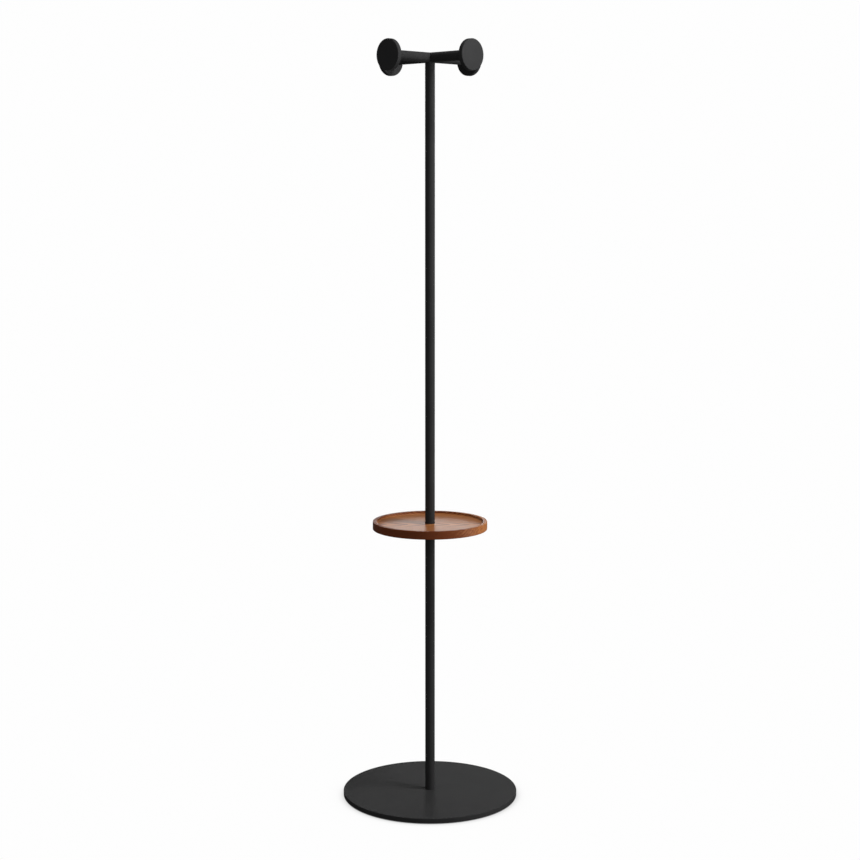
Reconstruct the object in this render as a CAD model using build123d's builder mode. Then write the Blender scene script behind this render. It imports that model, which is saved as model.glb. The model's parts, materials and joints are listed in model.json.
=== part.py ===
"""Free-standing valet stand: a round steel base, a slim two-piece pole, a dished walnut tray
clamped between the pole sections, and a head of four horizontal arms with flat disc knobs.

Millimetres, +Z up. The origin is on the floor, on the pole's axis. The front of the stand faces -Y,
and the arms point halfway between the X and Y axes.
"""

import os

from build123d import *

# ---- overall sizes ---------------------------------------------------------------------------
base_diameter = 400
pole_diameter = 22
tray_top_height = 643
tray_diameter = 260
arm_axis_height = 1675
arm_reach = 130  # pole axis to the outer face of a knob

# ---- base ------------------------------------------------------------------------------------
base_thickness = 10
base_top_round = 1.2
base_bottom_round = 0.5
pad_thickness = 2
pad_inset = 9  # base rim to the pad's outer edge
pad_hole_diameter = 60

# ---- pole ------------------------------------------------------------------------------------
pole_wall = 1.5
plug_length = 25

# ---- tray ------------------------------------------------------------------------------------
tray_height = 18.5
tray_rim_width = 8.5
dish_depth = 6
dish_cove = 3
tray_edge_round = 1.2
tray_foot_round = 1.5

# ---- flange under the tray -------------------------------------------------------------------
flange_diameter = 80
flange_thickness = 3
flange_edge_round = 0.6
flange_screw_circle = 56
flange_screw_count = 4

# ---- head ------------------------------------------------------------------------------------
arm_diameter = 22
arm_wall = 1.5
arm_plug_length = 18
hub_shoulder = 5  # where an arm starts, past the side of the neighbouring arm
hub_neck = 6  # height of the neck under the arms
hub_core = 2  # metal left between the stud holes that meet at the middle of the hub
knob_diameter = 68
knob_thickness = 11
knob_edge_round = 1.6

# ---- fasteners -------------------------------------------------------------------------------
main_thread = 10  # base bolt, tray stud and head stud
main_thread_grip = 18  # length screwed into a pole plug
arm_thread = 8  # arm studs and knob studs
arm_thread_grip = 12  # length screwed into an arm plug
knob_thread_grip = 7  # length screwed into a knob
stud_end_chamfer = 0.8
bolt_head_diameter = 19
bolt_socket_across_flats = 6
bolt_socket_depth = 4
wood_screw_diameter = 4
wood_screw_length = 12
wood_screw_head = 7.5
screw_slot_width = 0.9
screw_slot_length = 4
screw_slot_depth = 1.4
countersink_angle = 90

# ---- clearances, each on the radius or at one end --------------------------------------------
press_gap = 0.03  # a plug brazed into a tube
thread_gap = 0.05  # a thread in its tapped hole
pass_gap = 0.4  # a stud or screw in a plain hole
end_gap = 0.5  # past the end of a stud or screw, at the bottom of its hole

# ---- worked out from the sizes above ---------------------------------------------------------
base_radius = base_diameter / 2
pole_radius = pole_diameter / 2
pole_bore = pole_radius - pole_wall
tray_radius = tray_diameter / 2
arm_radius = arm_diameter / 2
arm_bore = arm_radius - arm_wall
main_radius = main_thread / 2
stud_radius = arm_thread / 2

base_top = pad_thickness + base_thickness
tray_bottom = tray_top_height - tray_height
dish_floor = tray_top_height - dish_depth
flange_bottom = tray_bottom - flange_thickness
neck_bottom = arm_axis_height - arm_radius - hub_neck
head_stud_top = arm_axis_height - stud_radius - hub_core
hub_reach = arm_radius + hub_shoulder
hub_hole_start = stud_radius + hub_core
knob_back = arm_reach - knob_thickness
bolt_head_height = (bolt_head_diameter - main_thread) / 2
screw_head_height = (wood_screw_head - wood_screw_diameter) / 2

arm_angles = {"front_right": -45, "rear_right": 45, "rear_left": 135, "front_left": 225}

os.makedirs("parts", exist_ok=True)


def save(piece, name):
    """Label a finished piece and write it as the node of that name."""
    piece.label = name
    export_step(piece, f"parts/{name}.step")


def arm_plane(angle, distance):
    """A plane across the arm at this angle, its normal pointing outwards along the arm."""
    along = Vector(1, 0, 0).rotate(Axis.Z, angle)
    return Plane(along * distance + Vector(0, 0, arm_axis_height), (0, 0, 1), along)


def rod(plane, radius, length):
    """A threaded rod, drawn at its major diameter, with a chamfer at both ends."""
    with BuildPart() as piece:
        with BuildSketch(plane):
            Circle(radius)
        extrude(amount=length)
        chamfer(piece.edges().filter_by(GeomType.CIRCLE), stud_end_chamfer)
    return piece.part


def ring(plane, outer_radius, inner_radius, length):
    """A tube, a plug with a tapped hole right through, or a flat ring."""
    with BuildPart() as piece:
        with BuildSketch(plane):
            Circle(outer_radius)
            Circle(inner_radius, mode=Mode.SUBTRACT)
        extrude(amount=length)
    return piece.part


# ---- base plate, with the bolt's countersunk hole from below ---------------------------------
with BuildPart() as base_plate:
    with BuildSketch(Plane.XY.offset(pad_thickness)):
        Circle(base_radius)
    extrude(amount=base_thickness)
    fillet(base_plate.edges().group_by(Axis.Z)[-1], base_top_round)
    fillet(base_plate.edges().group_by(Axis.Z)[0], base_bottom_round)
    with Locations(Plane((0, 0, pad_thickness), z_dir=(0, 0, -1))):
        CounterSinkHole(
            radius=main_radius + pass_gap,
            counter_sink_radius=bolt_head_diameter / 2 + pass_gap,
            counter_sink_angle=countersink_angle,
        )
save(base_plate.part, "base_plate")

# ---- non-slip pad glued under the base, open around the bolt ---------------------------------
save(ring(Plane.XY, base_radius - pad_inset, pad_hole_diameter / 2, pad_thickness), "floor_pad")

# ---- countersunk base bolt, up through the plate into the pole's foot plug -------------------
with BuildPart() as base_bolt:
    with BuildSketch(Plane.XY.offset(pad_thickness)):
        Circle(bolt_head_diameter / 2)
    with BuildSketch(Plane.XY.offset(pad_thickness + bolt_head_height)):
        Circle(main_radius)
    loft()
    with BuildSketch(Plane.XY.offset(pad_thickness + bolt_head_height)):
        Circle(main_radius)
    extrude(amount=base_thickness - bolt_head_height + main_thread_grip)
    chamfer(base_bolt.edges().group_by(Axis.Z)[-1], stud_end_chamfer)
    with BuildSketch(Plane.XY.offset(pad_thickness)):
        RegularPolygon(bolt_socket_across_flats / 2, 6, major_radius=False)
    extrude(amount=bolt_socket_depth, mode=Mode.SUBTRACT)
save(base_bolt.part, "base_bolt")

# ---- pole: two tubes, with a threaded plug in each end ---------------------------------------
pole_sections = {"lower_pole": (base_top, flange_bottom), "upper_pole": (dish_floor, neck_bottom)}
for name, (bottom, top) in pole_sections.items():
    save(ring(Plane.XY.offset(bottom), pole_radius, pole_bore, top - bottom), name)
    for end, start in {"foot_plug": bottom, "top_plug": top - plug_length}.items():
        plug = ring(
            Plane.XY.offset(start), pole_bore - press_gap, main_radius + thread_gap, plug_length
        )
        save(plug, f"{name}_{end}")

# ---- stud that clamps the tray between the two pole sections ---------------------------------
tray_stud_bottom = flange_bottom - main_thread_grip
tray_stud_top = dish_floor + main_thread_grip
tray_stud_length = tray_stud_top - tray_stud_bottom
save(rod(Plane.XY.offset(tray_stud_bottom), main_radius, tray_stud_length), "tray_stud")

# ---- tray: a turned walnut dish with a hole for the stud and blind pilot holes below ---------
with BuildPart() as tray:
    with BuildSketch(Plane.XY.offset(tray_bottom)):
        Circle(tray_radius)
    extrude(amount=tray_height)
    with BuildSketch(Plane.XY.offset(dish_floor)):
        Circle(tray_radius - tray_rim_width)
    extrude(amount=dish_depth, mode=Mode.SUBTRACT)
    bottom_edge, cove_edge, rim_edges = tray.edges().filter_by(GeomType.CIRCLE).group_by(Axis.Z)
    fillet(rim_edges, tray_edge_round)
    fillet(cove_edge, dish_cove)
    fillet(bottom_edge, tray_foot_round)
    with Locations(Plane((0, 0, tray_bottom), z_dir=(0, 0, -1))):
        Hole(main_radius + pass_gap)
        with PolarLocations(flange_screw_circle / 2, flange_screw_count):
            Hole(
                wood_screw_diameter / 2 + thread_gap,
                depth=wood_screw_length - flange_thickness + end_gap,
            )
save(tray.part, "tray")

# ---- flange that carries the tray on the lower pole ------------------------------------------
with BuildPart() as tray_flange:
    with BuildSketch(Plane.XY.offset(flange_bottom)):
        Circle(flange_diameter / 2)
    extrude(amount=flange_thickness)
    fillet(tray_flange.edges().group_by(Axis.Z)[0], flange_edge_round)
    with Locations(Plane((0, 0, flange_bottom), z_dir=(0, 0, -1))):
        Hole(main_radius + pass_gap)
        with PolarLocations(flange_screw_circle / 2, flange_screw_count):
            CounterSinkHole(
                radius=wood_screw_diameter / 2 + pass_gap,
                counter_sink_radius=wood_screw_head / 2 + pass_gap,
                counter_sink_angle=countersink_angle,
            )
save(tray_flange.part, "tray_flange")

# ---- wood screws up through the flange into the tray, one node -------------------------------
with BuildPart() as tray_screws:
    with BuildSketch(Plane.XY.offset(flange_bottom)):
        with PolarLocations(flange_screw_circle / 2, flange_screw_count):
            Circle(wood_screw_head / 2)
    extrude(amount=screw_head_height, taper=countersink_angle / 2)
    with BuildSketch(Plane.XY.offset(flange_bottom)):
        with PolarLocations(flange_screw_circle / 2, flange_screw_count):
            Circle(wood_screw_diameter / 2)
    extrude(amount=wood_screw_length)
    with BuildSketch(Plane.XY.offset(flange_bottom)):
        with PolarLocations(flange_screw_circle / 2, flange_screw_count):
            Rectangle(screw_slot_length, screw_slot_width)
            Rectangle(screw_slot_width, screw_slot_length)
    extrude(amount=screw_slot_depth, mode=Mode.SUBTRACT)
save(tray_screws.part, "tray_screws")

# ---- head hub: crossed stubs on a neck, with tapped holes for the head stud and arm studs ----
with BuildPart() as head_hub:
    with BuildSketch(Plane.XY.offset(neck_bottom)):
        Circle(pole_radius)
    extrude(amount=arm_axis_height - neck_bottom)
    for angle in arm_angles.values():
        with BuildSketch(arm_plane(angle, 0)):
            Circle(arm_radius)
        extrude(amount=hub_reach)
    with BuildSketch(Plane.XY.offset(neck_bottom)):
        Circle(main_radius + thread_gap)
    extrude(amount=head_stud_top - neck_bottom, mode=Mode.SUBTRACT)
    for angle in arm_angles.values():
        with BuildSketch(arm_plane(angle, hub_hole_start)):
            Circle(stud_radius + thread_gap)
        extrude(amount=hub_reach - hub_hole_start, mode=Mode.SUBTRACT)
save(head_hub.part, "head_hub")

head_stud_bottom = neck_bottom - main_thread_grip
head_stud_length = head_stud_top - end_gap - head_stud_bottom
save(rod(Plane.XY.offset(head_stud_bottom), main_radius, head_stud_length), "head_stud")

# ---- arms: a tube between two threaded plugs, a stud at each end, and a knob -----------------
for place, angle in arm_angles.items():
    arm = ring(arm_plane(angle, hub_reach), arm_radius, arm_bore, knob_back - hub_reach)
    save(arm, f"arm_{place}")
    for end, start in {"inner": hub_reach, "outer": knob_back - arm_plug_length}.items():
        plug = ring(
            arm_plane(angle, start), arm_bore - press_gap, stud_radius + thread_gap, arm_plug_length
        )
        save(plug, f"arm_{end}_plug_{place}")

    arm_stud_start = hub_hole_start + end_gap
    arm_stud_length = hub_reach + arm_thread_grip - arm_stud_start
    save(rod(arm_plane(angle, arm_stud_start), stud_radius, arm_stud_length), f"arm_stud_{place}")

    knob_stud_start = knob_back - arm_thread_grip
    knob_stud_length = arm_thread_grip + knob_thread_grip - end_gap
    knob_stud = rod(arm_plane(angle, knob_stud_start), stud_radius, knob_stud_length)
    save(knob_stud, f"knob_stud_{place}")

    with BuildPart() as knob:
        with BuildSketch(arm_plane(angle, knob_back)):
            Circle(knob_diameter / 2)
        extrude(amount=knob_thickness)
        fillet(knob.edges().filter_by(GeomType.CIRCLE), knob_edge_round)
        with BuildSketch(arm_plane(angle, knob_back)):
            Circle(stud_radius + thread_gap)
        extrude(amount=knob_thread_grip, mode=Mode.SUBTRACT)
    save(knob.part, f"knob_{place}")
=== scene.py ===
# %% [markdown]
# # A valet stand
#
# The stand is a flat steel disc, a slim pole in two lengths, a turned walnut tray between them
# and a head of four arms that end in round knobs. Its sizes and places are already settled in a
# packed engineering model. This lesson keeps all of them, and makes the surfaces worth looking at:
# turned edges that catch the light, powder coat, lacquered walnut, and the fasteners below.
#
# Nearly every piece of this stand was made on a lathe, or bent or cut from round stock. So the
# lesson builds one lathe out of Geometry Nodes, and then feeds it one outline after another.

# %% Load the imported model
import json
import math

import bmesh
import bpy
from mathutils import Matrix, Vector


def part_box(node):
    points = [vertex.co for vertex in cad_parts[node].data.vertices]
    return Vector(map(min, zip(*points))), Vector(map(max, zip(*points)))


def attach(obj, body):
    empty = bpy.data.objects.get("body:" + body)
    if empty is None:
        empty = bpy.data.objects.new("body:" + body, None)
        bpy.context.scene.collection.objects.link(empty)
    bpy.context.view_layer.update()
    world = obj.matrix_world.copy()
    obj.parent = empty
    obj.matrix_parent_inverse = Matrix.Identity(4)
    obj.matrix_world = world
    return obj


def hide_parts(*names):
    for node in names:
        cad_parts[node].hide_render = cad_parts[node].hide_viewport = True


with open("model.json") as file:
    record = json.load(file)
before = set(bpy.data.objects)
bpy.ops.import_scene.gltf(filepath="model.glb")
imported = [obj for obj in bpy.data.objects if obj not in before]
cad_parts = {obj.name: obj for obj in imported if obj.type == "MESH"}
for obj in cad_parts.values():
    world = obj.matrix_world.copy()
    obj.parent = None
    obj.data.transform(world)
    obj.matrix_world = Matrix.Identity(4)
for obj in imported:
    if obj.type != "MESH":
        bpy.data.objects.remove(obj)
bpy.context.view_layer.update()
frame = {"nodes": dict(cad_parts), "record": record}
MM = 0.001
BODY = "root"
MICRON = 0.001 * MM
UP = Vector((0, 0, 1))
print("nodes in the model:", len(frame["nodes"]))

# %% [markdown]
# ## Reading a size off the model
#
# A box is enough to place an upright piece. The arms lie between the axes, so a box says little
# about them. Measuring each vertex along an axis, and out from it, works for every round piece,
# whichever way it points.


# %% Measure a round piece along and around its own axis
def measure(node, axis=UP, foot=Vector((0, 0, 0))):
    """Where a CAD node starts and ends along an axis, and its outer and inner radius about it."""
    places = [corner.co - foot for corner in frame["nodes"][node].data.vertices]
    along = [place.dot(axis) for place in places]
    radii = [(place - axis * step).length for place, step in zip(places, along)]
    return min(along), max(along), max(radii), min(radii)


base_bottom, base_top, base_radius, base_hole = measure("base_plate")
pole_radius = measure("upper_pole")[2]
print(f"base {2000 * base_radius:.1f} mm across, pole {2000 * pole_radius:.1f} mm")

# %% [markdown]
# ## Writing nodes as sums
#
# Node trees written in Python are hard to read when each sum takes four lines. Here a small class
# wraps one output socket and overloads the operators, so that `1 - mask` adds a Math node. Every
# other node comes from one method, which takes the node's type, its settings and its sockets.


# %% A wire that can be added, and a sheet that nodes are added to
class Wire:
    """One output socket of a node. An expression on wires adds the Math nodes for it."""

    def __init__(self, sheet, socket):
        self.sheet = sheet
        self.socket = socket

    def out(self, name):
        """Another output of the same node."""
        return Wire(self.sheet, self.socket.node.outputs[name])

    def math(self, operation, *values):
        return self.sheet.add("ShaderNodeMath", {"operation": operation}, dict(enumerate(values)))

    def __add__(self, other):
        return self.math("ADD", self, other)

    def __radd__(self, other):
        return self.math("ADD", other, self)

    def __sub__(self, other):
        return self.math("SUBTRACT", self, other)

    def __rsub__(self, other):
        return self.math("SUBTRACT", other, self)

    def __mul__(self, other):
        return self.math("MULTIPLY", self, other)

    def __rmul__(self, other):
        return self.math("MULTIPLY", other, self)

    def __truediv__(self, other):
        return self.math("DIVIDE", self, other)

    def __pow__(self, other):
        return self.math("POWER", self, other)


class Sheet:
    """A node tree, with one way to add a node."""

    def __init__(self, tree):
        self.tree = tree

    def add(self, kind, settings=None, sockets=None, out=0):
        node = self.tree.nodes.new(kind)
        for name, value in (settings or {}).items():
            if name == "items":
                for _ in range(value - len(node.index_switch_items)):
                    node.index_switch_items.new()
            else:
                setattr(node, name, value)
        for name, value in (sockets or {}).items():
            if isinstance(value, Wire):
                self.tree.links.new(value.socket, node.inputs[name])
            else:
                node.inputs[name].default_value = value
        return Wire(self, node.outputs[out]) if len(node.outputs) else node


print("node helpers ready")

# %% [markdown]
# ## Two helpers for surface patterns
#
# Every finish here starts from the same place: Object coordinates, which are the model's own
# metres. A pattern is then stretched along the grain or the tool's path by scaling the
# coordinates before they reach a noise. Colours are mixed by a mask that runs from 0 to 1.


# %% Start a material, stretch a noise and mix two colours
def new_finish(name, shader):
    """A material with one Principled shader, whose constants are set on its own sockets."""
    material = bpy.data.materials.new(name)
    material.use_nodes = True
    material.node_tree.nodes.clear()
    sheet = Sheet(material.node_tree)
    surface = sheet.add("ShaderNodeBsdfPrincipled", None, shader)
    sheet.add("ShaderNodeOutputMaterial", None, {"Surface": surface})
    return material, sheet, surface.socket.node


def noise(sheet, place, stretch, scale, detail=2.0, roughness=0.5):
    """Noise over Object coordinates that are first scaled by (x, y, z)."""
    scaled = sheet.add("ShaderNodeVectorMath", {"operation": "MULTIPLY"}, {0: place, 1: stretch})
    sockets = {
        "Vector": scaled,
        "Scale": scale,
        "Detail": detail,
        "Roughness": roughness,
    }
    return sheet.add("ShaderNodeTexNoise", None, sockets)


def ease(sheet, value, low, high, start=0.0, end=1.0):
    """Map low..high smoothly to start..end."""
    sockets = {"Value": value, "From Min": low, "From Max": high, "To Min": start, "To Max": end}
    return sheet.add("ShaderNodeMapRange", {"interpolation_type": "SMOOTHSTEP"}, sockets)


def blend_colours(sheet, mask, first, second):
    """A colour that goes from first to second as the mask goes from 0 to 1."""
    sockets = {"Factor": mask, "A_Color": first, "B_Color": second}
    node = sheet.tree.nodes.new("ShaderNodeMix")
    node.data_type = "RGBA"
    for identifier, value in sockets.items():
        wanted = "Factor_Float" if identifier == "Factor" else identifier
        socket = next(s for s in node.inputs if s.identifier == wanted)
        if isinstance(value, Wire):
            sheet.tree.links.new(value.socket, socket)
        else:
            socket.default_value = (*value, 1.0) if isinstance(value, tuple) else value
    return Wire(sheet, next(s for s in node.outputs if s.identifier == "Result_Color"))


def feed(sheet, surface, **links):
    """Link wires to the shader's sockets, by names such as Base_Color."""
    for name, wire in links.items():
        sheet.tree.links.new(wire.socket, surface.inputs[name.replace("_", " ")])


def bump(sheet, height, depth):
    """Surface relief, its full depth in metres."""
    return sheet.add("ShaderNodeBump", None, {"Height": height, "Distance": depth})


print("pattern helpers ready")

# %% [markdown]
# ## Black powder coat
#
# The steel is powder coated: dry paint dust, baked until it flows. From across a room it is an
# even satin black. Close to, it has a fine orange-peel surface, with grains under a millimetre
# and slow waves under them, and its sheen drifts a little from place to place. Two noises make
# the relief, and a third, much larger one moves the roughness and the tone by a few percent.
#
# A real powder coat is satin. Here its specular level is set far lower, to almost nothing. That
# keeps the black parts dark under the studio's low glow. For use in other light, try a level nearer
# to the usual 0.5.

# %% Make the powder coat
COAT_BLACK = (0.031, 0.031, 0.0315)
COAT_PALE = (0.039, 0.039, 0.0395)


def powder_coat():
    material, sheet, surface = new_finish(
        "black_powder_coat", {"Specular IOR Level": 0.008, "IOR": 1.5}
    )
    place = sheet.add("ShaderNodeTexCoord", out="Object")
    grains = noise(sheet, place, (1, 1, 1), 1700, 2.0)
    waves = noise(sheet, place, (1, 1, 1), 420, 1.0)
    drift = noise(sheet, place, (1, 1, 1), 16, 3.0)
    patch = ease(sheet, drift, 0.35, 0.65)
    colour = blend_colours(sheet, patch * 0.5 + grains * 0.25, COAT_BLACK, COAT_PALE)
    relief = grains * 0.45 + waves * 0.55
    feed(
        sheet,
        surface,
        Base_Color=colour,
        Roughness=0.33 + patch * 0.05 + grains * 0.05,
        Normal=bump(sheet, relief, 30 * MICRON),
    )
    return material


coat = powder_coat()
print("powder coat:", len(coat.node_tree.nodes), "nodes")

# %% [markdown]
# ## Lacquered walnut
#
# A walnut board is a slice through a tree. Its growth rings are cylinders around a pith that lies
# outside the board, nearly along it, so a flat slice shows long arches and the edge shows stripes.
# The pattern is made the same way: the distance from a slightly tilted line, bent by slow noise,
# counted in rings a few millimetres wide. Each ring darkens slowly and ends sharply. Fibres and
# open pores, stretched far along the grain, break the rings up. The grain runs across the stand.
#
# The lacquer is a clear coat over the wood, so it is set as the shader's coat and stays smooth
# while the pores below it show through.
#
# The outer band of the rim gets two changes, and neither is a feature of the real tray. Its coat
# is thinner, to quieten the gloss. Its wood is toned darker at the left, the front and the back than
# at the right, which stands in for light and shade that these lamps don't give. To light the stand
# in another way, set both ends of SHADE_TONE to one number.

# %% Make the walnut
WALNUT_LIGHT = (0.480, 0.190, 0.062)
WALNUT_DARK = (0.165, 0.042, 0.013)
WALNUT_PORE = (0.070, 0.020, 0.007)
RING_WIDTH = 5.0 * MM
PITH_BELOW = 58 * MM
PITH_BESIDE = 14 * MM
PITH_TILT = 0.11
RIM_BAND = (119 * MM, 124 * MM)
SHADE_TURN = (0.15, 0.90)
SHADE_TONE = (0.62, 0.18)


def walnut():
    material, sheet, surface = new_finish(
        "lacquered_walnut",
        {"IOR": 1.45, "Specular IOR Level": 0.10, "Coat Roughness": 0.28, "Coat IOR": 1.18},
    )
    place = sheet.add("ShaderNodeTexCoord", out="Object")
    split = sheet.add("ShaderNodeSeparateXYZ", None, {0: place})
    x, y, z = split.out("X"), split.out("Y"), split.out("Z")
    bend = noise(sheet, place, (0.30, 1, 1), 7, 2.0) - 0.5
    ripple = noise(sheet, place, (0.12, 1, 1), 60, 2.0) - 0.5
    tray_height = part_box("tray")[0].z
    across = y + PITH_BESIDE + bend * 0.040
    above = z - tray_height + PITH_BELOW + x * PITH_TILT
    rings = ((across * across + above * above) ** 0.5 + ripple * 0.004) / RING_WIDTH
    late_wood = ease(sheet, rings.math("FRACT", rings), 0.15, 0.92)
    sharp_end = ease(sheet, rings.math("FRACT", rings), 0.93, 1.0, 1.0, 0.0)
    fibre = noise(sheet, place, (0.018, 1, 1), 1500, 2.0, 0.6)
    streak = noise(sheet, place, (0.025, 1, 1), 240, 2.0, 0.6)
    cloud = noise(sheet, place, (0.5, 1, 1), 11, 2.0)
    pore = ease(sheet, noise(sheet, place, (0.035, 1, 1), 900, 1.0), 0.66, 0.74)
    reach = (x * x + y * y) ** 0.5
    edge = ease(sheet, reach, *RIM_BAND)
    shade = ease(sheet, x / reach, *SHADE_TURN, *SHADE_TONE) * edge
    growth = late_wood * sharp_end * (0.40 - edge * 0.26)
    tone = growth + streak * 0.58 + fibre * 0.20 + cloud * 0.40 + shade - 0.03
    ground = blend_colours(sheet, ease(sheet, tone, 0.45, 1.15), WALNUT_LIGHT, WALNUT_DARK)
    colour = blend_colours(sheet, pore * 0.7, ground, WALNUT_PORE)
    feed(
        sheet,
        surface,
        Base_Color=colour,
        Roughness=0.42 + fibre * 0.10 + pore * 0.15,
        Coat_Weight=0.80 - edge * 0.62 - pore * 0.15,
        Normal=bump(sheet, 1 - pore - fibre * 0.15, 10 * MICRON),
    )
    return material


wood = walnut()
print("walnut:", len(wood.node_tree.nodes), "nodes")

# %% [markdown]
# ## Metals and foam that show only from below
#
# Turn the stand over and there is zinc plate on the fasteners, bare turned steel inside the tubes
# and a thin foam ring on the base. Zinc has a faint blue-to-yellow bloom. Turned steel has fine
# rings left by the tool, so its relief follows the distance from the pole's axis. The foam's cells
# are a Voronoi pattern, because bubbles share a volume the way Voronoi cells do.


# %% Make the zinc, the turned steel and the foam
def zinc_plate():
    material, sheet, surface = new_finish("zinc_plate", {"Metallic": 1.0})
    place = sheet.add("ShaderNodeTexCoord", out="Object")
    bloom = ease(sheet, noise(sheet, place, (1, 1, 1), 120, 3.0), 0.35, 0.65)
    spangle = noise(sheet, place, (1, 1, 1), 2500, 2.0)
    feed(
        sheet,
        surface,
        Base_Color=blend_colours(sheet, bloom, (0.60, 0.63, 0.68), (0.70, 0.66, 0.55)),
        Roughness=0.26 + spangle * 0.14,
        Normal=bump(sheet, spangle, 10 * MICRON),
    )
    return material


def turned_steel():
    material, sheet, surface = new_finish("turned_steel", {"Metallic": 1.0})
    place = sheet.add("ShaderNodeTexCoord", out="Object")
    tool = noise(sheet, place, (1, 1, 6), 3000, 1.0)
    haze = noise(sheet, place, (1, 1, 1), 90, 3.0)
    feed(
        sheet,
        surface,
        Base_Color=blend_colours(sheet, haze, (0.42, 0.42, 0.43), (0.52, 0.51, 0.50)),
        Roughness=0.30 + tool * 0.18,
        Normal=bump(sheet, tool, 12 * MICRON),
    )
    return material


def foam():
    material, sheet, surface = new_finish("black_foam", {"Specular IOR Level": 0.2})
    place = sheet.add("ShaderNodeTexCoord", out="Object")
    cells = sheet.add(
        "ShaderNodeTexVoronoi", {"feature": "F1"}, {"Vector": place, "Scale": 900.0}, "Distance"
    )
    dust = noise(sheet, place, (1, 1, 1), 60, 3.0)
    feed(
        sheet,
        surface,
        Base_Color=blend_colours(sheet, dust, (0.020, 0.020, 0.021), (0.045, 0.044, 0.042)),
        Roughness=0.78 + cells * 0.2,
        Normal=bump(sheet, cells, 150 * MICRON),
    )
    return material


zinc, steel, pad_foam = zinc_plate(), turned_steel(), foam()
print("finishes:", ", ".join(m.name for m in (coat, wood, zinc, steel, pad_foam)))

# %% [markdown]
# ## Growing a piece from a node tree
#
# A Geometry Nodes tree is a recipe with named inputs, and one recipe serves many pieces. Each
# piece is grown on a throwaway object: the inputs are set, the result is copied out as a plain
# mesh, and the throwaway is deleted. The mesh is then turned and moved to its place, its doubles
# are merged, its faces point outwards, and edges sharper than 30 degrees are marked.
#
# How near two corners must be to count as one matters. A mesh stores single precision, and 1.7 m
# above the floor its steps are about 0.0001 mm. A merge distance no larger than that leaves seams
# and poles open, and then the faces can't tell which way is out. So it is 0.003 mm.
#
# A large flat face beside a small rounding shades badly, because the corner normals lean. The
# Weighted Normal modifier gives the large face its say, and leaves the rounding smooth.

# %% Open a tree, close it, and grow pieces from it
SHARP = math.radians(30)
SAME_PLACE = 3 * MICRON
KINDS = {float: "NodeSocketFloat", int: "NodeSocketInt"}


def open_tree(title, inputs):
    """A new geometry tree with these named inputs, and a dict of wires from them."""
    tree = bpy.data.node_groups.new(title, "GeometryNodeTree")
    for label, kind in inputs.items():
        tree.interface.new_socket(label, in_out="INPUT", socket_type=KINDS[kind])
    tree.interface.new_socket("Finish", in_out="INPUT", socket_type="NodeSocketMaterial")
    tree.interface.new_socket("Piece", in_out="OUTPUT", socket_type="NodeSocketGeometry")
    sheet = Sheet(tree)
    first = sheet.add("NodeGroupInput")
    return sheet, {label: first.out(label) for label in [*inputs, "Finish"]}


def close_tree(sheet, size, shape):
    """End a tree: instances made real, the finish put on, and the result sent out."""
    real = sheet.add("GeometryNodeRealizeInstances", None, {"Geometry": shape})
    painted = sheet.add(
        "GeometryNodeSetMaterial", None, {"Geometry": real, "Material": size["Finish"]}
    )
    sheet.add("NodeGroupOutput", None, {"Piece": painted})
    return sheet.tree


def plain_copy(holder):
    """The evaluated mesh of a throwaway object, which is then deleted."""
    graph = bpy.context.evaluated_depsgraph_get()
    mesh = bpy.data.meshes.new_from_object(holder.evaluated_get(graph))
    bpy.data.objects.remove(holder)
    return mesh


def throwaway(mesh):
    holder = bpy.data.objects.new("throwaway", mesh)
    bpy.context.scene.collection.objects.link(holder)
    return holder


def tidy(mesh):
    """Merge doubles, point the faces outwards and mark the sharp edges."""
    shape = bmesh.new()
    shape.from_mesh(mesh)
    bmesh.ops.remove_doubles(shape, verts=shape.verts, dist=SAME_PLACE)
    bmesh.ops.recalc_face_normals(shape, faces=shape.faces)
    for face in shape.faces:
        face.smooth = True
    for edge in shape.edges:
        edge.smooth = len(edge.link_faces) == 2 and edge.calc_face_angle() < SHARP
    shape.to_mesh(mesh)
    shape.free()


def finish_piece(name, mesh, material, nodes):
    """Give a mesh its shading, put it on the body, and hide the CAD nodes it takes the place of."""
    tidy(mesh)
    holder = throwaway(mesh)
    holder.modifiers.new("weighted", "WEIGHTED_NORMAL").keep_sharp = True
    piece = bpy.data.objects.new(f"finished_{name}", plain_copy(holder))
    bpy.context.scene.collection.objects.link(piece)
    piece.data.name = piece.name
    piece.data.materials.clear()
    piece.data.materials.append(material)
    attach(piece, BODY)
    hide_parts(*nodes)
    return piece


def grow(name, tree, sizes, material, nodes, place=Matrix.Identity(4)):
    """Grow one piece from a tree, at its place."""
    holder = throwaway(bpy.data.meshes.new("draft"))
    growth = holder.modifiers.new("growth", "NODES")
    growth.node_group = tree
    sockets = {item.name: item for item in tree.interface.items_tree if item.in_out == "INPUT"}
    for label, value in {**sizes, "Finish": material}.items():
        growth[sockets[label].identifier] = value
    mesh = plain_copy(holder)
    mesh.transform(place)
    piece = finish_piece(name, mesh, material, nodes)
    print(f"{name}: {len(piece.data.polygons)} faces")
    return piece


# %% [markdown]
# ## The lathe
#
# A lathe turns an outline into a round piece. The outline is a list of corners, each with its
# radius, its height and the size of its rounding. The tree lays the corners out as points, joins
# them into a curve, rounds each corner with Fillet Curve, and sweeps the outline around a circle.
# Corners are sums of the tree's own inputs, so one tree makes a plug or a pole.

# %% Build a lathe for any outline
TURNING_CIRCLE = 1.0
SMALL_SIDES = 48
POLE_SIDES = 96
KNOB_SIDES = 128
DISC_SIDES = 256


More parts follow.
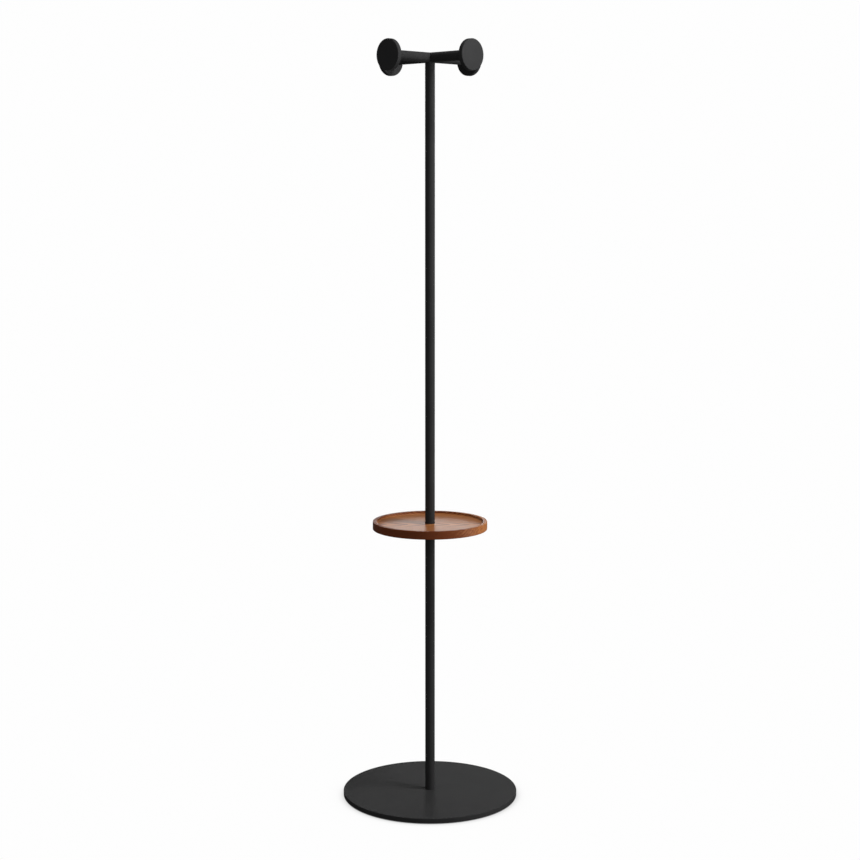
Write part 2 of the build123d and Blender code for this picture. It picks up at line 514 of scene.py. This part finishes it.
def lathe(title, inputs, corners, closed=True):
    """A tree that turns an outline about Z. corners(size) gives (radius, height, rounding)."""
    sheet, size = open_tree(title, {**inputs, "Sides": int, "Arc points": int})
    outline = corners(size)
    count = len(outline)
    places = {
        str(i): sheet.add("ShaderNodeCombineXYZ", None, {0: radius - TURNING_CIRCLE, 1: height * -1})
        for i, (radius, height, _) in enumerate(outline)
    }
    roundings = {str(i): rounding for i, (_, _, rounding) in enumerate(outline)}
    index = sheet.add("GeometryNodeInputIndex")
    place = sheet.add(
        "GeometryNodeIndexSwitch",
        {"data_type": "VECTOR", "items": count},
        {"Index": index, **places},
    )
    rounding = sheet.add(
        "GeometryNodeIndexSwitch",
        {"data_type": "FLOAT", "items": count},
        {"Index": index, **roundings},
    )
    points = sheet.add("GeometryNodePoints", None, {"Count": count})
    joined = sheet.add("GeometryNodePointsToCurves", None, {"Points": points})
    drawn = sheet.add("GeometryNodeSetPosition", None, {"Geometry": joined, "Position": place})
    looped = sheet.add("GeometryNodeSetSplineCyclic", None, {"Geometry": drawn, "Cyclic": closed})
    rounded = sheet.add(
        "GeometryNodeFilletCurve",
        {"mode": "POLY"},
        {"Curve": looped, "Count": size["Arc points"], "Radius": rounding, "Limit Radius": True},
    )
    circle = sheet.add(
        "GeometryNodeCurvePrimitiveCircle",
        {"mode": "RADIUS"},
        {"Resolution": size["Sides"], "Radius": TURNING_CIRCLE},
    )
    upright = sheet.add("GeometryNodeSetCurveNormal", {"mode": "Z_UP"}, {"Curve": circle})
    turned = sheet.add(
        "GeometryNodeCurveToMesh", None, {"Curve": upright, "Profile Curve": rounded}
    )
    return close_tree(sheet, size, turned)


# %% [markdown]
# ### Ring shapes: poles, arms, plugs and the foam ring
#
# A tube, a plug with a hole through it and a flat ring are one shape: a rectangle, turned. Its
# four corners each take a rounding, so the same tree makes a pole with crisp ends and a foam
# ring with softer ones.

# %% Make the ring tree
ring_tree = lathe(
    "turned_ring",
    {
        "Outer radius": float,
        "Inner radius": float,
        "Bottom": float,
        "Top": float,
        "Outer rounding": float,
        "Inner rounding": float,
    },
    lambda size: [
        (size["Inner radius"], size["Bottom"], size["Inner rounding"]),
        (size["Outer radius"], size["Bottom"], size["Outer rounding"]),
        (size["Outer radius"], size["Top"], size["Outer rounding"]),
        (size["Inner radius"], size["Top"], size["Inner rounding"]),
    ],
)


def ring(node, material, axis=UP, foot=Vector((0, 0, 0)), rounding=0.2 * MM, sides=64):
    """A turned ring that takes the place and the sizes of its CAD node."""
    bottom, top, outer, inner = measure(node, axis, foot)
    sizes = {
        "Outer radius": outer,
        "Inner radius": inner,
        "Bottom": bottom,
        "Top": top,
        "Outer rounding": rounding,
        "Inner rounding": rounding,
        "Sides": sides,
        "Arc points": 4,
    }
    place = Matrix.Translation(foot) @ UP.rotation_difference(axis).to_matrix().to_4x4()
    return grow(node, ring_tree, sizes, material, [node], place)


# %% Turn the poles, their plugs and the foam ring
for section in ("lower_pole", "upper_pole"):
    ring(section, coat, sides=POLE_SIDES)
    for end in ("foot_plug", "top_plug"):
        ring(f"{section}_{end}", steel)
ring("floor_pad", pad_foam, rounding=0.4 * MM, sides=192)

# %% [markdown]
# ### The base plate
#
# The base is a disc of 10 mm steel. Its top edge is eased so that it doesn't chip the coat, and a
# countersink below takes the bolt's head. An outline with one more corner makes it: the hole,
# the countersink's rim, the underside, the edge and the top.

# %% Turn the base plate
BASE_TOP_ROUND = 1.2 * MM
BASE_FOOT_ROUND = 0.5 * MM
SINK_RADIUS = 9.9 * MM

base_tree = lathe(
    "turned_base",
    {
        "Radius": float,
        "Hole radius": float,
        "Sink radius": float,
        "Bottom": float,
        "Top": float,
        "Top rounding": float,
        "Foot rounding": float,
    },
    lambda size: [
        (size["Sink radius"], size["Bottom"], 0.0),
        (size["Radius"], size["Bottom"], size["Foot rounding"]),
        (size["Radius"], size["Top"], size["Top rounding"]),
        (size["Hole radius"], size["Top"], 0.0),
        (size["Hole radius"], size["Bottom"] + size["Sink radius"] - size["Hole radius"], 0.0),
    ],
)
grow(
    "base_plate",
    base_tree,
    {
        "Radius": base_radius,
        "Hole radius": base_hole,
        "Sink radius": SINK_RADIUS,
        "Bottom": base_bottom,
        "Top": base_top,
        "Top rounding": BASE_TOP_ROUND,
        "Foot rounding": BASE_FOOT_ROUND,
        "Sides": DISC_SIDES,
        "Arc points": 6,
    },
    coat,
    ["base_plate"],
)

# %% [markdown]
# ### The tray
#
# The tray is one piece of walnut, faced and hollowed on the lathe. The gouge leaves a cove where
# the wall meets the floor, and sandpaper eases the rim's two edges. Seen from the side the rim is
# what one looks at, so its edges get more arc points than anything else here.

# %% Turn the tray
TRAY_RIM = 8.5 * MM
TRAY_COVE = 3.0 * MM
TRAY_EASE = 1.2 * MM
TRAY_FOOT_EASE = 1.5 * MM

tray_tree = lathe(
    "turned_tray",
    {
        "Radius": float,
        "Hole radius": float,
        "Bottom": float,
        "Floor": float,
        "Top": float,
        "Rim": float,
        "Cove": float,
        "Ease": float,
        "Foot ease": float,
    },
    lambda size: [
        (size["Hole radius"], size["Bottom"], 0.0),
        (size["Radius"], size["Bottom"], size["Foot ease"]),
        (size["Radius"], size["Top"], size["Ease"]),
        (size["Radius"] - size["Rim"], size["Top"], size["Ease"]),
        (size["Radius"] - size["Rim"], size["Floor"], size["Cove"]),
        (size["Hole radius"], size["Floor"], 0.0),
    ],
)
tray_bottom, tray_top, tray_radius, tray_hole = measure("tray")
grow(
    "tray",
    tray_tree,
    {
        "Radius": tray_radius,
        "Hole radius": tray_hole,
        "Bottom": tray_bottom,
        "Floor": measure("upper_pole")[0],
        "Top": tray_top,
        "Rim": TRAY_RIM,
        "Cove": TRAY_COVE,
        "Ease": TRAY_EASE,
        "Foot ease": TRAY_FOOT_EASE,
        "Sides": DISC_SIDES,
        "Arc points": 8,
    },
    wood,
    ["tray"],
)

# %% [markdown]
# ### The arms and their knobs
#
# The head is the same arm four times. Each arm is a tube with a plug in both ends, and each knob
# is a thick disc with a blind tapped hole in its back, which an open outline makes: it starts and
# ends on the axis. A loop measures each arm along its own direction, so nothing here says where
# an arm is. Only the names of the four places are written down.

# %% Make the knob tree
KNOB_ROUND = 1.6 * MM

knob_tree = lathe(
    "turned_knob",
    {
        "Radius": float,
        "Back": float,
        "Face": float,
        "Hole radius": float,
        "Hole depth": float,
        "Rounding": float,
    },
    lambda size: [
        (0.0, size["Back"] + size["Hole depth"], 0.0),
        (size["Hole radius"], size["Back"] + size["Hole depth"], 0.0),
        (size["Hole radius"], size["Back"], 0.0),
        (size["Radius"], size["Back"], size["Rounding"]),
        (size["Radius"], size["Face"], size["Rounding"]),
        (0.0, size["Face"], 0.0),
    ],
    closed=False,
)

# %% Turn four arms and four knobs
PLACES = ("front_right", "rear_right", "rear_left", "front_left")
KNOB_HOLE_RADIUS = 4.05 * MM
KNOB_HOLE_DEPTH = 7 * MM


def arm_line(place):
    """An arm's direction, and the point on the pole's axis where it starts."""
    low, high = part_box(f"arm_{place}")
    middle = (low + high) / 2
    return Vector((middle.x, middle.y, 0)).normalized(), Vector((0, 0, middle.z))


for place in PLACES:
    direction, centre = arm_line(place)
    turn = Matrix.Translation(centre) @ UP.rotation_difference(direction).to_matrix().to_4x4()
    ring(f"arm_{place}", coat, direction, centre)
    for end in ("inner", "outer"):
        ring(f"arm_{end}_plug_{place}", steel, direction, centre, sides=SMALL_SIDES)
    back, face, knob_radius, _ = measure(f"knob_{place}", direction, centre)
    grow(
        f"knob_{place}",
        knob_tree,
        {
            "Radius": knob_radius,
            "Back": back,
            "Face": face,
            "Hole radius": KNOB_HOLE_RADIUS,
            "Hole depth": KNOB_HOLE_DEPTH,
            "Rounding": KNOB_ROUND,
            "Sides": KNOB_SIDES,
            "Arc points": 7,
        },
        coat,
        [f"knob_{place}"],
        turn,
    )

# %% [markdown]
# ## Screws, grown from a flat grid
#
# A screw is a sheet rolled up. One way across the grid runs round the screw and the other runs
# from end to end, so each point has an angle and a height. The radius is a sum of those two: a
# sawtooth of height over pitch, less the angle in turns, is a helix. The first rows sink the
# driver's socket into the head, and the radius there is a hexagon or a cross in polar form. A
# countersunk head is a cone that shrinks as fast as the height grows, because it is cut at 90
# degrees. With no head and no socket, the same tree makes a stud.
#
# Four wood screws are one screw on four points, which the tree lays out on a circle.

# %% Build the screw tree
SOCKET_ROWS = 3
ROWS_A_TURN = 8
FLANK_SLOPE = 2.5
FLANK_START = 0.125


def screw_tree():
    sizes = ["Radius", "Thread depth", "Pitch", "Bottom", "Length", "Chamfer", "Tip slope"]
    sizes += ["Head radius", "Socket depth", "Socket reach", "Socket slot", "Circle radius"]
    counts = ["Socket sides", "Count", "Sides", "Rows"]
    sheet, size = open_tree("cut_screw", {**dict.fromkeys(sizes, float), **dict.fromkeys(counts, int)})
    grid = sheet.add(
        "GeometryNodeMeshGrid",
        None,
        {
            "Size X": 1.0,
            "Size Y": 1.0,
            "Vertices X": size["Sides"] + 1,
            "Vertices Y": size["Rows"],
        },
    )
    flat = sheet.add("ShaderNodeSeparateXYZ", None, {0: sheet.add("GeometryNodeInputPosition")})
    turn = flat.out("X") + 0.5
    row = (flat.out("Y") + 0.5) * (size["Rows"] - 1)
    share = (row - SOCKET_ROWS) / (size["Rows"] - (SOCKET_ROWS + 2))
    height = share.math("MAXIMUM", share.math("MINIMUM", share, 1), 0) * size["Length"]

    helix = height / size["Pitch"] - turn
    tooth = helix.math("ABSOLUTE", helix.math("FRACT", helix) - 0.5) * FLANK_SLOPE - FLANK_START
    tooth = tooth.math("MAXIMUM", tooth.math("MINIMUM", tooth, 1), 0)
    shaft = size["Radius"] - size["Thread depth"] * tooth
    blunt = size["Radius"] - size["Chamfer"]
    shaft = shaft.math("MINIMUM", shaft, blunt + height + size["Head radius"])
    shaft = shaft.math("MINIMUM", shaft, blunt + (size["Length"] - height) * size["Tip slope"])
    body = shaft.math("MAXIMUM", shaft, size["Head radius"] - height)

    wedge = turn * size["Socket sides"] + 0.5
    fold = wedge.math("ABSOLUTE", wedge.math("FRACT", wedge) - 0.5) * math.tau / size["Socket sides"]
    flat_side = size["Socket reach"] / fold.math("COSINE", fold)
    slot_side = size["Socket slot"] / (fold.math("SINE", fold) + 0.0001)
    socket = flat_side.math("MINIMUM", flat_side, slot_side)

    on_axis = row.math("LESS_THAN", row, 0.5) + row.math("GREATER_THAN", row, size["Rows"] - 1.5)
    in_socket = row.math("LESS_THAN", row, SOCKET_ROWS - 0.5)
    sunk = row.math("LESS_THAN", row, SOCKET_ROWS - 1.5)
    radius = (socket * in_socket + body * (1 - in_socket)) * (1 - on_axis)
    angle = turn * math.tau
    place = sheet.add(
        "ShaderNodeCombineXYZ",
        None,
        {
            0: angle.math("COSINE", angle) * radius,
            1: angle.math("SINE", angle) * radius,
            2: size["Bottom"] + height + size["Socket depth"] * sunk,
        },
    )
    rolled = sheet.add("GeometryNodeSetPosition", None, {"Geometry": grid, "Position": place})

    index = sheet.add("GeometryNodeInputIndex")
    bearing = index * math.tau / size["Count"]
    spot = sheet.add(
        "ShaderNodeCombineXYZ",
        None,
        {
            0: bearing.math("COSINE", bearing) * size["Circle radius"],
            1: bearing.math("SINE", bearing) * size["Circle radius"],
        },
    )
    spots = sheet.add("GeometryNodePoints", None, {"Count": size["Count"], "Position": spot})
    placed = sheet.add("GeometryNodeInstanceOnPoints", None, {"Points": spots, "Instance": rolled})
    return close_tree(sheet, size, placed)


screws = screw_tree()
STUD = {
    "Chamfer": 0.8 * MM,
    "Tip slope": 1.0,
    "Head radius": 0.0,
    "Socket depth": 0.0,
    "Socket reach": 0.0,
    "Socket slot": 0.0,
    "Circle radius": 0.0,
    "Socket sides": 6,
    "Count": 1,
    "Sides": 48,
}
print("screw tree:", len(screws.nodes), "nodes")

# %% Cut the studs, the base bolt and the wood screws
COARSE_PITCH = {5: 1.5 * MM, 4: 1.25 * MM, 2: 1.4 * MM}
THREAD_SHARE = {5: 0.6, 4: 0.6, 2: 0.4}


def cut(node, radius_mm, axis=UP, foot=Vector((0, 0, 0)), **changes):
    """A screw that takes the place and the length of its CAD node."""
    bottom, top = measure(node, axis, foot)[:2]
    pitch = COARSE_PITCH[radius_mm]
    sizes = {
        "Radius": radius_mm * MM,
        "Thread depth": THREAD_SHARE[radius_mm] * pitch,
        "Pitch": pitch,
        "Bottom": bottom,
        "Length": top - bottom,
        "Rows": round((top - bottom) / pitch * ROWS_A_TURN) + SOCKET_ROWS + 2,
    }
    turn = Matrix.Translation(foot) @ UP.rotation_difference(axis).to_matrix().to_4x4()
    grow(node, screws, {**STUD, **sizes, **changes}, zinc, [node], turn)


cut("tray_stud", 5)
cut("head_stud", 5)
for place in PLACES:
    direction, centre = arm_line(place)
    cut(f"arm_stud_{place}", 4, direction, centre)
    cut(f"knob_stud_{place}", 4, direction, centre)

BOLT_SOCKET = {"Socket depth": 4 * MM, "Socket reach": 3 * MM, "Socket slot": 9 * MM}
cut("base_bolt", 5, **BOLT_SOCKET, **{"Head radius": 9.5 * MM, "Sides": 96})

CROSS = {"Socket depth": 1.4 * MM, "Socket reach": 2 * MM, "Socket slot": 0.45 * MM, "Socket sides": 4}
WOOD_SCREW = {"Chamfer": 1.8 * MM, "Tip slope": 0.5, "Head radius": 3.75 * MM, "Sides": 96}
cut("tray_screws", 2, **CROSS, **WOOD_SCREW, **{"Circle radius": 28 * MM, "Count": 4})

# %% [markdown]
# ## What keeps its CAD mesh
#
# The hub and the flange are already the right shape, so they keep their meshes and only get a
# finish on their slots.

# %% Paint the pieces that stay
for name, node in frame["nodes"].items():
    if node.hide_render:
        continue
    slot = next(s["material_slot"] for s in frame["record"]["subparts"] if s["node"] == name)
    finish = {"black_powder_coat": coat, "zinc_plated_steel": zinc, "bare_steel": steel}[slot]
    node.data.materials.clear()
    node.data.materials.append(finish)
    print("painted", name, "in", finish.name)

# %% [markdown]
# ## The studio
#
# A black stand on a white floor wants two things that fight each other: a floor that looks white,
# and little light coming back up from it. No real floor does both. Here the floor shows itself pale
# to the camera alone. Every other ray meets a dark floor, so the underside of the base and the left
# of the pole stay dark. An Ambient Occlusion node, with a reach of a few centimetres, leaves a faint
# shadow where the base sits.
#
# Two soft boxes stand to the right, both a little in front. The tall one is level with the stand and
# draws the long light edge down the pole. The high one drops the soft shadows that lie to the left
# of the pole on the tray and the base.

# %% Lay the floor
FLOOR_SIZE = 14.0
FLOOR_GAP = 0.5 * MM
PAPER = 0.99
CREVICE = 0.45
CREVICE_TONE = 0.73
CONTACT_REACH = 60 * MM
FLOOR_BOUNCE = 0.24


def pale_floor():
    """A floor that is pale to the camera and dark to every other ray."""
    material, sheet, surface = new_finish("pale_floor", {"Roughness": 0.9, "Specular IOR Level": 0.0})
    surface.inputs["Base Color"].default_value = (FLOOR_BOUNCE, FLOOR_BOUNCE, FLOOR_BOUNCE, 1)
    openness = sheet.add("ShaderNodeAmbientOcclusion", None, {"Distance": CONTACT_REACH}, "AO")
    tone = ease(sheet, openness, 0.0, CREVICE, 0.0, CREVICE_TONE)
    tone = tone + ease(sheet, openness, CREVICE, 1.0, 0.0, PAPER - CREVICE_TONE)
    paper = sheet.add("ShaderNodeEmission", None, {"Strength": tone})
    seen = sheet.add("ShaderNodeLightPath", out="Is Camera Ray")
    chosen = sheet.add("ShaderNodeMixShader", None, {0: seen, 1: Wire(sheet, surface.outputs[0]), 2: paper})
    output = next(node for node in sheet.tree.nodes if node.type == "OUTPUT_MATERIAL")
    sheet.tree.links.new(chosen.socket, output.inputs["Surface"])
    return material


half = FLOOR_SIZE / 2
floor_mesh = bpy.data.meshes.new("floor")
floor_mesh.from_pydata(
    [(-half, -half, 0), (half, -half, 0), (half, half, 0), (-half, half, 0)], [], [(0, 1, 2, 3)]
)
floor = bpy.data.objects.new("floor", floor_mesh)
bpy.context.scene.collection.objects.link(floor)
floor.location.z = -FLOOR_GAP
floor_mesh.materials.append(pale_floor())


# %% Light the stand
def soft_box(name, place, target, width, height, power):
    """A rectangular soft light that looks at a point."""
    lamp = bpy.data.lights.new(name, "AREA")
    lamp.shape = "RECTANGLE"
    lamp.size, lamp.size_y, lamp.energy = width, height, power
    stand = bpy.data.objects.new(name, lamp)
    stand.location = place
    aim = Vector(target) - Vector(place)
    stand.rotation_euler = aim.to_track_quat("-Z", "Y").to_euler()
    bpy.context.scene.collection.objects.link(stand)


soft_box("side_box", (2.16, -0.40, 1.20), (0, 0, 1.2), 0.9, 2.2, 40)
soft_box("high_box", (1.10, -0.50, 2.90), (0, 0, 0.64), 0.5, 0.5, 35)

# %% [markdown]
# ### The room
#
# The rest of the light comes from the room itself, as a world shader that depends only on the
# direction. It is dim all round, has a soft fill from the front, and has a low glow behind the
# stand, just above the horizon. Lacquer seen at a flat angle mirrors that glow, which is what turns
# the tray's floor pale. The glow stops at the horizon, because below it the knobs would mirror it
# past the floor's far edge. To the camera the room is plain white.

# %% Make the room
ROOM_DIM = 0.19
FRONT_FILL = 0.36
SWEEP_GLOW = 8.0


def white_room():
    """A world whose light depends on the direction, and that is paper white to the camera."""
    world = bpy.data.worlds.new("white_room")
    world.use_nodes = True
    world.node_tree.nodes.clear()
    room = Sheet(world.node_tree)
    place = room.add("ShaderNodeTexCoord", out="Generated")
    split = room.add("ShaderNodeSeparateXYZ", None, {0: place})
    back, up = split.out("Y"), split.out("Z")
    fill = ease(room, back, -0.9, 0.0, 1.0, 0.0) * ease(room, up, 0.2, 0.8, 1.0, 0.0)
    sweep = ease(room, up, 0.0, 0.03) * ease(room, up, 0.03, 0.18, 1.0, 0.0)
    sweep = ease(room, back, 0.85, 0.98) * sweep
    light = fill * FRONT_FILL + sweep * SWEEP_GLOW + ROOM_DIM
    seen = room.add("ShaderNodeLightPath", out="Is Camera Ray")
    strength = light * (1 - seen) + seen * PAPER
    sky = room.add("ShaderNodeBackground", None, {"Color": (1, 1, 1, 1), "Strength": strength})
    room.add("ShaderNodeOutputWorld", None, {"Surface": sky})
    return world


bpy.context.scene.world = white_room()
bpy.context.scene.view_settings.view_transform = "Standard"

# %% [markdown]
# ## The camera
#
# The camera stands almost four metres away, a little below head height, and looks slightly down.

# %% Place the camera
CAMERA_AWAY = 3.925
CAMERA_UP = 1.380
CAMERA_DIP = math.radians(7.677)
FOCAL_MM = 73.5
SENSOR_MM = 36.0
lens = bpy.data.cameras.new("camera")
lens.lens = FOCAL_MM
lens.sensor_width = SENSOR_MM
camera = bpy.data.objects.new("camera", lens)
camera.location = (0, -CAMERA_AWAY, CAMERA_UP)
camera.rotation_euler = (math.pi / 2 - CAMERA_DIP, 0, 0)
bpy.context.scene.collection.objects.link(camera)
bpy.context.scene.camera = camera
